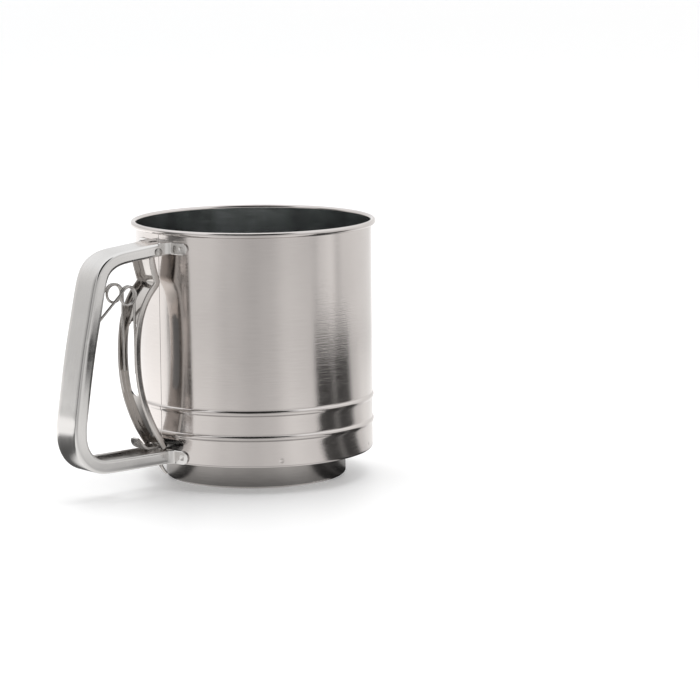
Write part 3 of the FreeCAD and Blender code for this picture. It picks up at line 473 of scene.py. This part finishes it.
def cup_profile():
    """Closed (r, z) outline: up the outside, round the rolled rim, down the inside."""
    roll_in = arc(ROLL_CENTRE_R, ROLL_CENTRE_Z, ROLL_R - CUP_SHEET, 180, -125, 30)
    roll_out = arc(ROLL_CENTRE_R, ROLL_CENTRE_Z, ROLL_R, -125, 180, 40)
    free_edge = ((roll_in[-1][0] + roll_out[0][0]) / 2 + 0.05,
                 (roll_in[-1][1] + roll_out[0][1]) / 2 - 0.08)
    floor_z = CUP_BOTTOM_Z + CUP_SHEET
    return np.array(
        arc(WALL_R - CORNER_R, CUP_BOTTOM_Z + CORNER_R, CORNER_R, -90, 0, 9)
        + wall_line(WALL_R, BEAD_R)
        + [(WALL_R, ROLL_CENTRE_Z - 0.2)]
        + roll_in + [free_edge] + roll_out
        + wall_line(INNER_R, BEAD_R - CUP_SHEET)[::-1]
        + [(INNER_R, 12.3), (INNER_R - 0.1, 12.08), (INNER_R - 0.3, floor_z),
           (LIP_R, floor_z), (LIP_R - 0.15, 11.75), (LIP_R, CUP_BOTTOM_Z)])


def cup_azimuths(welds):
    """Even steps in degrees, with fine ones at the seam and at the spot welds."""
    fine = [SEAM_AZIMUTH + k * SEAM_STEP for k in SEAM_STATIONS]
    fine += [(weld + k) % 360 for weld in welds for k in np.arange(-1.5, 1.51, 0.25)]
    even = [a for a in np.linspace(0, 360, 288, endpoint=False)
            if min(abs(a - f) for f in fine) > 0.35]
    return sorted(set(round(a, 4) for a in fine + even))


def drive_slot_cutter():
    """Swept oblong through the wall, laid out as (length round the wall, z)."""
    half_h = (SLOT_ZS[1] - SLOT_ZS[0]) / 2
    mid_z = (SLOT_ZS[1] + SLOT_ZS[0]) / 2
    start, end = (azimuth / 180 * math.pi * WALL_R for azimuth in SLOT_AZIMUTHS)
    outline = (arc(end - half_h, mid_z, half_h, -90, 90, 12)
               + arc(start + half_h, mid_z, half_h, 90, 270, 12))
    # split the straight runs so that they follow the wall
    dense = []
    for p, q in zip(outline, outline[1:] + outline[:1]):
        pieces = max(1, int(abs(q[0] - p[0]) / 1.0))
        for i in range(pieces):
            dense.append((p[0] + (q[0] - p[0]) * i / pieces,
                          p[1] + (q[1] - p[1]) * i / pieces))
    rings = [np.array([(-r * math.cos(s / WALL_R), -r * math.sin(s / WALL_R), z)
                       for s, z in dense]) for r in (WALL_R - 3, WALL_R + 3)]
    return loft("slot_cutter", rings, smooth=False)


def cup():
    profile = cup_profile()
    heights = profile[:, 1]
    outer_face = profile[:, 0] > WALL_R - 0.01
    seam_rows = outer_face & (heights > 12.6) & (heights < ROLL_CENTRE_Z - 1.0)
    welds = [180 + WELD_AZIMUTH + 360 // WELD_COUNT * i for i in range(WELD_COUNT)]
    rings = []
    for azimuth in cup_azimuths(welds):
        radii = profile[:, 0].copy()
        seam_off = abs(azimuth - SEAM_AZIMUTH) * math.pi / 180 * WALL_R
        if seam_off < SEAM_HALF_W:
            radii[seam_rows] -= SEAM_DEPTH * (1 - (seam_off / SEAM_HALF_W) ** 2)
        for weld in welds:
            weld_off = ((azimuth - weld + 180) % 360 - 180) * math.pi / 180 * WALL_R
            off = np.sqrt(weld_off ** 2 + (heights - WELD_Z) ** 2)
            rows = outer_face & (off < WELD_R)
            radii[rows] -= WELD_DEPTH * (1 - (off[rows] / WELD_R) ** 2)
        turn = math.radians(azimuth)
        rings.append(np.stack([radii * math.cos(turn), radii * math.sin(turn), heights], 1))
    body = loft("cup_body_skin", rings, closed_path=True)
    cut(body, [drive_slot_cutter()])
    shade_by_angle(body, 35)
    set_materials(body, "cup_steel", "cup_inside_painted_light_steel")
    # faces on the inside of the wall, below the roll, take the brighter inside steel, which is
    # painted light
    slots = []
    for face in body.data.polygons:
        centre, normal = face.center, face.normal
        within = math.hypot(centre.x, centre.y) / MM < WALL_R - 0.3 * CUP_SHEET
        facing_axis = centre.x * normal.x + centre.y * normal.y < 0
        below_roll = centre.z / MM < ROLL_CENTRE_Z
        slots.append(int(within and facing_axis and below_roll))
    body.data.polygons.foreach_set("material_index", slots)
    return body


# --------------------------------------------------------------------- channel strips
def channel_section(half_w, depth, corner_r):
    """Closed U outline: (y, depth from the outer face of the web)."""
    sheet = STRIP_SHEET
    inner_r = max(0.15, corner_r - sheet)
    edge_r = sheet / 2.0
    web = half_w - corner_r              # where the outer corners start
    inner_web = half_w - sheet - inner_r
    inner_top = sheet + inner_r
    edge = depth - edge_r                # where the rounded flange edges start
    return np.array(
        arc(-web, corner_r, corner_r, 180, 270, 7)
        + [(y, 0.0) for y in np.linspace(-web, web, 9)[1:-1]]
        + arc(web, corner_r, corner_r, -90, 0, 7)
        + [(half_w, d) for d in np.linspace(corner_r, edge, 5)[1:]]
        + arc(half_w - edge_r, edge, edge_r, 0, 180, 7)[1:]
        + [(half_w - sheet, d) for d in np.linspace(edge, inner_top, 4)[1:]]
        + arc(inner_web, inner_top, inner_r, 0, -90, 5)[1:]
        + [(y, sheet) for y in np.linspace(inner_web, -inner_web, 9)[1:-1]]
        + arc(-inner_web, inner_top, inner_r, -90, -180, 5)
        + [(-half_w + sheet, d) for d in np.linspace(inner_top, edge, 4)[1:]]
        + arc(-half_w + edge_r, edge, edge_r, 0, 180, 7)[1:]
        + [(-half_w, d) for d in np.linspace(edge, corner_r, 5)[1:-1]])


def channel(name, outline, width, depths, corner_r, side, step, smoothing,
            end_on_wall=False):
    """U-channel swept along an (r, z) outline.

    side +1 puts the flanges to the left of travel, with (r, z) taken as (x, y);
    side -1 puts them to the right.
    """
    points, stations = resample(outline, step)
    points = smooth_rows(points, smoothing)
    normals = left_normals(points) * side
    last = len(points) - 1
    rings = []
    for i in range(last + 1):
        depth = float(np.interp(stations[i] / stations[-1], *zip(*depths)))
        section = channel_section(width / 2.0, depth, corner_r)
        y = section[:, 0]
        r = points[i, 0] + normals[i, 0] * section[:, 1]
        z = points[i, 1] + normals[i, 1] * section[:, 1]
        if end_on_wall:
            # rings that would enter the cup stack up closely on its wall
            wall = np.sqrt(np.maximum(SEAT_R ** 2 - y ** 2, 0))
            r = np.maximum(r, wall + 0.02 * min(i, last - i))
        rings.append(np.stack([-r, y, z], 1))
    return loft(name, rings)


# ----------------------------------------------------------------------------- handle
# ears at the handle's ends: (z low, z high, reach in y)
EARS = ((11.6, 17.4, 16.0), (103.0, 108.1, 17.4))
EAR_R = SEAT_R + STRIP_SHEET / 2           # middle of the ear's sheet
MARK_R, MARK_DEPTH = 4.0, 0.17             # ball-shaped spot-weld mark


def ear_strip(path, low, high):
    """Upright strip of sheet along an (x, y) path, with a rounded far end."""
    points, stations = resample(path, 0.5)
    normals = left_normals(points)
    half_h, mid_z = 0.5 * (high - low), 0.5 * (high + low)
    round_start = stations[-1] - half_h
    rounded = round_start + half_h * np.sin(np.radians(np.linspace(0, 88, 14)))
    rings = []
    for s in np.concatenate([stations[stations < round_start], rounded]):
        x, y = (np.interp(s, stations, points[:, k]) for k in (0, 1))
        normal_x, normal_y = (np.interp(s, stations, normals[:, k]) for k in (0, 1))
        past = max(0.0, s - round_start)
        reach = math.sqrt(max(half_h * half_h - past ** 2, 0.02))
        bevel = min(0.22, STRIP_SHEET / 3, reach * 0.5)
        section = bevelled(STRIP_SHEET / 2, reach, bevel, side_points=3)
        rings.append(np.array([(x + normal_x * a, y + normal_y * a, mid_z + z)
                               for a, z in section]))
    return loft("ear", rings)


def ear(side, low, high, reach_y):
    """Ear from the handle's flange onto the wall; side is the sign of y."""
    path = [(-57.5, 7.1 * side), (-56.0, 7.1 * side), (-54.5, 7.12 * side),
            (-53.3, 7.35 * side)]
    for turn in np.linspace(math.asin(8.3 / EAR_R), math.asin((reach_y - 0.3) / EAR_R), 8):
        path.append((-EAR_R * math.cos(turn), EAR_R * math.sin(turn) * side))
    strip = ear_strip(path, low, high)
    mark_turn = math.asin(0.80 * reach_y / EAR_R)
    ball_r = EAR_R + STRIP_SHEET / 2 + MARK_R - MARK_DEPTH
    centre = (-ball_r * math.cos(mark_turn), ball_r * math.sin(mark_turn) * side,
              0.5 * (low + high))
    return cut(strip, [ball_cutter("mark_cutter", centre, MARK_R)])


def handle():
    body = channel("handle_skin", HANDLE_OUTLINE, width=15.0, depths=HANDLE_DEPTHS,
                   corner_r=1.2, side=-1, step=0.9, smoothing=3, end_on_wall=True)
    lower_slot = oblong_cutter("lower_slot", (-45.0, 0.0), (-76.0, 0.0), width=8.0,
                               low=5.0, high=14.0)
    upper_slot = oblong_cutter("upper_slot", (-54.5, 0.0), (-55.6, 0.0), width=3.2,
                               low=104.5, high=110.0)
    pin_hole = rod_cutter("pin_hole", PIVOT, radius=1.27, y_low=-9.0, y_high=9.0)
    cut(body, [lower_slot, upper_slot, pin_hole])
    ears = [ear(side, *sizes) for side in (1, -1) for sizes in EARS]
    body = join([body] + ears)
    shade_by_angle(body, 40)
    set_materials(body, "handle_steel")
    return body


# ---------------------------------------------------------------------------- trigger
EYE_OUTER_R, EYE_INNER_R, EYE_HALF_W = 2.05, 1.25, 6.2
EYE_STEPS = 40


def rolled_eye():
    """Tube along Y round the pivot."""
    mid_r = (EYE_OUTER_R + EYE_INNER_R) / 2
    section = bevelled((EYE_OUTER_R - EYE_INNER_R) / 2, EYE_HALF_W, bevel=0.15)
    rings = []
    for i in range(EYE_STEPS):
        turn = 2 * math.pi * i / EYE_STEPS
        rings.append(np.array([(-PIVOT[0] - (mid_r + a) * math.cos(turn), y,
                                PIVOT[1] + (mid_r + a) * math.sin(turn))
                               for a, y in section]))
    return loft("eye", rings, closed_path=True)


def trigger_tail():
    points, _ = resample(TAIL_LINE, 0.5)
    normals = left_normals(points)
    rings = []
    for i, ((r, z), (normal_r, normal_z)) in enumerate(zip(points, normals)):
        half_w, half_t = (0.7, 0.3) if i == len(points) - 1 else (1.0, 0.45)
        rings.append(np.array([(-(r + normal_r * b), y, z + normal_z * b)
                               for y, b in bevelled(half_w, half_t, bevel=0.15)]))
    return loft("tail", rings)


def trigger():
    body = channel("trigger_skin", TRIGGER_OUTLINE, width=13.0, depths=TRIGGER_DEPTHS,
                   corner_r=0.9, side=1, step=0.8, smoothing=2)
    cut(body, [oblong_cutter("window", (0.0, 44.9), (0.0, 71.1), width=6.8,
                             low=-85.0, high=-50.0, axis="x")])
    body = join([body, rolled_eye(), trigger_tail()])
    shade_by_angle(body, 40)
    set_materials(body, "trigger_steel")
    return body


# ----------------------------------------------------------------------------- spring
WIRE_R = 0.58
COIL_R, COIL_CENTRE = 3.9, (72.7, 86.7)    # centre as (r, z)
COIL_SWEEP = 495                           # degrees
LEG_Y, COIL_END_Y = 4.2, 6.0
# (r, z) up the leg by the trigger
LEG_LINE = [(68.35, 52.4), (68.55, 56.0), (68.6, 60.0), (68.6, 64.0), (68.6, 68.0),
            (68.75, 73.0), (68.85, 78.0), (68.8, 82.5)]
# (distance from the coil, y) down the arm to the handle, 45 degrees below level
ARM_LINE = [(2.0, 5.95), (5.0, 5.75), (9.0, 5.45), (13.0, 5.1), (17.0, 4.75), (21.0, 4.35),
            (24.2, 3.95)]
# (x, y, z) of the cross bar at the handle, up to the middle
BAR_LINE = [(-93.9, 3.35, 71.0), (-94.7, 2.2, 70.15), (-94.95, 0.0, 69.85)]


def tube(name, points, radius, sides):
    """Round wire with slightly narrowed ends."""
    tangents = unit_tangents(points)
    across = np.cross(tangents[0], (0, 1.0, 0.0))
    across /= np.linalg.norm(across)
    turn = np.linspace(0, 2 * math.pi, sides, endpoint=False)[:, None]
    rings = []
    for i, (point, tangent) in enumerate(zip(points, tangents)):
        across = across - tangent * (across @ tangent)
        across /= np.linalg.norm(across)
        other = np.cross(tangent, across)
        ring_r = radius * 0.55 if i in (0, len(points) - 1) else radius
        rings.append(point + ring_r * (np.cos(turn) * across + np.sin(turn) * other))
    return loft(name, rings)


def spring():
    """One wire: leg, coil and arm on the +Y side, the cross bar, then the mirror image."""
    centre_r, centre_z = COIL_CENTRE
    half = [(-r, LEG_Y, z) for r, z in LEG_LINE]
    for i in range(61):
        part = i / 60.0
        turn = math.radians(180 - COIL_SWEEP * part)
        half.append((-(centre_r + COIL_R * math.cos(turn)),
                     LEG_Y + (COIL_END_Y - LEG_Y) * part,
                     centre_z + COIL_R * math.sin(turn)))
    slope = math.sin(math.radians(45))
    arm_r, arm_z = centre_r + COIL_R * slope, centre_z + COIL_R * slope
    half += [(-(arm_r + s * slope), y, arm_z - s * slope) for s, y in ARM_LINE]
    mirrored = [(x, -y, z) for x, y, z in reversed(half + BAR_LINE[:-1])]
    points, _ = resample(half + BAR_LINE + mirrored, 0.35)
    wire = tube("spring_wire", points, WIRE_R, sides=12)
    set_materials(wire, "spring_steel")
    return wire


# ---------------------------------------------------------------------------- screens
SCREEN_R, SCREEN_PITCH, SCREEN_WIRE_R = 50.4, 1.5, 0.17
WEAVE_RISE = SCREEN_WIRE_R * 1.02


def screen(name, mid_z, hole_r):
    """Woven square-section wires, in both directions, round a central hole."""
    verts, faces = [], []
    first = 0
    reach = int(SCREEN_R / SCREEN_PITCH)
    for axis in (0, 1):
        for k in range(-reach, reach + 1):
            offset = (k + 0.5) * SCREEN_PITCH
            if abs(offset) >= SCREEN_R - 0.3:
                continue
            end = math.sqrt(SCREEN_R * SCREEN_R - offset * offset)
            spans = [(-end, end)]
            if abs(offset) < hole_r:
                gap = math.sqrt(hole_r * hole_r - offset * offset)
                spans = [(-end, -gap), (gap, end)]
            over = 1 if (k + axis) % 2 == 0 else -1
            for start, stop in spans:
                count = max(3, int((stop - start) / (SCREEN_PITCH / 4)) + 1)
                run = np.linspace(start, stop, count)
                wave = mid_z + over * WEAVE_RISE * np.cos(math.pi * (run / SCREEN_PITCH - 0.5))
                for aside, up in ((-SCREEN_WIRE_R, 0), (0, -SCREEN_WIRE_R),
                                  (SCREEN_WIRE_R, 0), (0, SCREEN_WIRE_R)):
                    plan = [run, np.full(count, offset + aside)]
                    if axis == 1:
                        plan.reverse()
                    verts.append(np.stack(plan + [wave + up], 1))
                i = np.arange(count - 1)
                for j in range(4):
                    here = first + j * count + i
                    there = first + (j + 1) % 4 * count + i
                    faces.append(np.stack([here, there, there + 1, here + 1], 1))
                corners = first + count * np.arange(4)
                faces.append(corners[None, ::-1])
                faces.append(corners[None, :] + count - 1)
                first += 4 * count
    cloth = new_mesh(name, np.vstack(verts), np.vstack(faces).tolist())
    set_materials(cloth, "screen_steel")
    return cloth


# --------------------------------------------------------------------------- assembly
cup_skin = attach(cup(), "frame")
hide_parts("cup_body")
handle_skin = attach(handle(), "frame")
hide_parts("handle")
trigger_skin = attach(trigger(), "trigger")
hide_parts("trigger")
spring_wire = spring()
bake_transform(spring_wire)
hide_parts("return_spring")
upper_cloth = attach(screen("upper_screen_cloth", BEAD_ZS[0], hole_r=6.0), "frame")
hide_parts("upper_screen")
lower_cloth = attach(screen("lower_screen_cloth", BEAD_ZS[1], hole_r=5.0), "frame")
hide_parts("lower_screen")

# finishes of the CAD pieces that are kept as they are
KEPT_PIECES = {
    # the foot ring's darker steel is painted shade
    "foot_painted_shade_steel": ("foot_ring",),
    "satin_steel": ("trigger_pivot_pin", "upper_screen_hoop", "lower_screen_hoop",
                    "upper_screen_eyelet", "lower_screen_eyelet", "agitator_spacer",
                    "spindle_collar", "crank_rivet", "crank_rivet_washer"),
    "pressed_steel": ("upper_agitator", "lower_agitator", "spindle", "crank_arm",
                      "drive_link"),
}
for steel_name, pieces in KEPT_PIECES.items():
    for piece in pieces:
        node = CAD_NODES[piece]
        set_materials(node, steel_name)
        node.data.polygons.foreach_set("material_index", [0] * len(node.data.polygons))

# ----------------------------------------------------------------------------- camera
CAMERA_AZIMUTH, CAMERA_ELEVATION = math.radians(-40.254), math.radians(9.1656)
CAMERA_ROLL = 0.008452                     # radians
CAMERA_DISTANCE = 1.432383
AIM_RIGHT, AIM_UP = 0.0422186, 0.0542815   # aim point, from the origin

# unit vectors: from the aim point to the camera, to the camera's right, and level to it
to_camera = Vector((math.sin(CAMERA_AZIMUTH) * math.cos(CAMERA_ELEVATION),
                    -math.cos(CAMERA_AZIMUTH) * math.cos(CAMERA_ELEVATION),
                    math.sin(CAMERA_ELEVATION)))
camera_right = Vector((math.cos(CAMERA_AZIMUTH), math.sin(CAMERA_AZIMUTH), 0))
level_to_camera = Vector((to_camera.x, to_camera.y, 0)).normalized()


def add_camera():
    data = bpy.data.cameras.new("camera")
    data.sensor_width = 36.0
    data.lens = 166.21
    data.clip_start = 0.05
    camera = bpy.data.objects.new("camera", data)
    bpy.context.scene.collection.objects.link(camera)
    aim = camera_right * AIM_RIGHT + Vector((0, 0, AIM_UP))
    camera.location = aim + to_camera * CAMERA_DISTANCE
    camera.rotation_mode = "QUATERNION"
    camera.rotation_quaternion = ((-to_camera).to_track_quat("-Z", "Y")
                                  @ Quaternion((0, 0, 1), -CAMERA_ROLL))
    bpy.context.scene.camera = camera


add_camera()

# ---------------------------------------------------- light tent, seen in the steel
# Stops are (degrees about Z, brightness): 0 is toward the camera, positive is to its right.
GAIN = 1.34                                # lifts the pale parts of the floor
NEAR_STOPS = [
    (-180, 0.92 * GAIN), (-100, 0.90 * GAIN), (-87, 0.84 * GAIN), (-81, 0.18), (-65, 0.09),
    (-61, 0.64 * GAIN), (-42, 0.60 * GAIN), (-22, 0.50 * GAIN), (2, 0.43 * GAIN),
    (14, 0.46 * GAIN), (34, 0.60 * GAIN), (52, 0.55 * GAIN), (57, 0.50 * GAIN),
    (59.5, 0.07), (73, 0.05), (78, 0.17), (84, 0.05), (97, 0.07), (104, 0.46 * GAIN),
    (124, 0.62 * GAIN), (150, 0.66 * GAIN), (180, 0.90 * GAIN)]
FAR_STOPS = [
    (-180, 0.95 * GAIN), (-100, 0.95 * GAIN), (-91, 0.90 * GAIN), (-86, 0.18), (-67, 0.09),
    (-63, 0.64 * GAIN), (-42, 0.62 * GAIN), (-22, 0.52 * GAIN), (2, 0.44 * GAIN),
    (14, 0.48 * GAIN), (34, 0.60 * GAIN), (55, 0.56 * GAIN), (62, 0.50 * GAIN),
    (66, 0.62 * GAIN), (80, 0.74 * GAIN), (88, 0.54 * GAIN), (96, 0.64 * GAIN),
    (120, 0.68 * GAIN), (150, 0.70 * GAIN), (180, 0.92 * GAIN)]
WORLD_STOPS = [
    (-180, 0.92), (-108, 0.86), (-98, 0.50), (-92, 0.22), (-70, 0.20), (-63, 0.66),
    (-22, 0.55), (14, 0.50), (34, 0.62), (60, 0.70), (84, 0.82), (120, 0.95), (180, 0.92)]


def tent(graph, vector, stops):
    """Brightness of the light tent by direction about the upright axis."""
    rightward = graph.dot(vector, camera_right)
    toward = graph.dot(vector, level_to_camera)
    angle = graph.math("ARCTAN2", rightward, toward)
    turn = graph.remap(angle, source=(-math.pi, math.pi))
    # all but the first stop are slightly warm
    colours = [(stops[0][1],) * 3 + (1,)] + [(v, v * 0.99, v * 0.98, 1) for _, v in stops[1:]]
    places = [(degrees + 180) / 360.0 for degrees, _ in stops]
    return graph.ramp(turn, list(zip(places, colours)), interpolation="EASE")


def floor_material():
    """Pale to the camera; in reflections it glows as the lower part of the tent."""
    material = bpy.data.materials.new("pale_floor")
    graph = Graph(material)
    pale = graph.add("BsdfPrincipled", {
        "Base Color": (0.88, 0.88, 0.88, 1), "Roughness": 0.4,
        "Emission Color": (1, 1, 1, 1), "Emission Strength": 0.24})
    geometry = graph.node("NewGeometry").outputs
    near = tent(graph, geometry["Position"], NEAR_STOPS)
    far = tent(graph, geometry["Position"], FAR_STOPS)
    distance = graph.add("VectorMath", {0: geometry["Position"]}, output="Value",
                         operation="LENGTH")
    farness = graph.smoothstep(distance, source=(0.44, 0.50))
    glow = graph.mix_colour(farness, near, far)
    # dimmer close to the cup
    contact = graph.smoothstep(distance, source=(0.040, 0.105), target=(0.35, 1.0))
    # seen steeply, as in the cup's rounded lower edge, the floor stays bright
    incoming_z = graph.node("SeparateXYZ", {0: geometry["Incoming"]}).outputs[2]
    # absolute value; the second input is not used and keeps its default
    steepness = graph.add("Math", {0: incoming_z}, operation="ABSOLUTE")
    steep = graph.smoothstep(steepness, source=(0.45, 0.75))
    ray_length = graph.add("LightPath", output="Ray Length")
    short_ray = graph.smoothstep(ray_length, source=(0.014, 0.020), target=(1.0, 0.0))
    steep_and_short = graph.math("MULTIPLY", steep, short_ray)
    # a little brighter over the nearer floor
    lift = graph.smoothstep(distance, source=(0.22, 0.46), target=(1.20, 1.0))
    level = graph.math("MULTIPLY", contact, lift)
    strength = graph.add("Mix", {"Factor": steep_and_short, 2: level, 3: 1.15},
                         data_type="FLOAT")
    glowing = graph.add("Emission", {"Color": glow, "Strength": strength})
    in_reflection = graph.add("LightPath", output="Is Glossy Ray")
    surface = graph.add("MixShader", {0: in_reflection, 1: pale, 2: glowing})
    graph.node("OutputMaterial", {0: surface})
    return material


def add_floor(half=40.0):
    mesh = bpy.data.meshes.new("floor")
    mesh.from_pydata([(-half, -half, 0), (half, -half, 0), (half, half, 0), (-half, half, 0)],
                     [], [(0, 1, 2, 3)])
    floor = bpy.data.objects.new("floor", mesh)
    bpy.context.scene.collection.objects.link(floor)
    floor.location = (0, 0, -0.0002)
    mesh.materials.append(floor_material())


def add_world():
    """White to the camera; otherwise the tent's sides, its bright top and a dark patch."""
    world = bpy.data.worlds.new("studio")
    bpy.context.scene.world = world
    graph = Graph(world)
    direction = graph.add("TexCoord", output="Generated")
    sides = tent(graph, direction, WORLD_STOPS)
    up = graph.node("SeparateXYZ", {0: direction}).outputs[2]
    overhead = graph.smoothstep(up, source=(0.25, 0.85))
    colour = graph.mix_colour(overhead, sides, (1.15, 1.16, 1.17, 1))
    # dark patch high up on the camera's side
    patch_centre = (level_to_camera * 0.62 + Vector((0, 0, 0.78))).normalized()
    toward_patch = graph.dot(direction, patch_centre)
    strength = graph.smoothstep(toward_patch, source=(0.80, 0.88), target=(1.0, 0.03))
    lit = graph.add("Background", {"Color": colour, "Strength": strength})
    white = graph.add("Background", {"Color": (1, 1, 1, 1)})
    to_lens = graph.add("LightPath", output="Is Camera Ray")
    surface = graph.add("MixShader", {0: to_lens, 1: lit, 2: white})
    graph.node("OutputWorld", {0: surface})


def add_top_softbox():
    """Square light overhead, aimed at the origin and left out of reflections."""
    data = bpy.data.lights.new("top_softbox", "AREA")
    data.shape = "SQUARE"
    data.size = 1.4
    data.energy = 9.0
    light = bpy.data.objects.new("top_softbox", data)
    bpy.context.scene.collection.objects.link(light)
    location = Vector((0.1, 0.1, 1.5))
    light.location = location
    light.rotation_mode = "QUATERNION"
    light.rotation_quaternion = (-location).to_track_quat("-Z", "Y")
    light.visible_glossy = False


add_floor()
add_world()
add_top_softbox()

view = bpy.context.scene.view_settings
view.view_transform = "Standard"
view.look = "None"
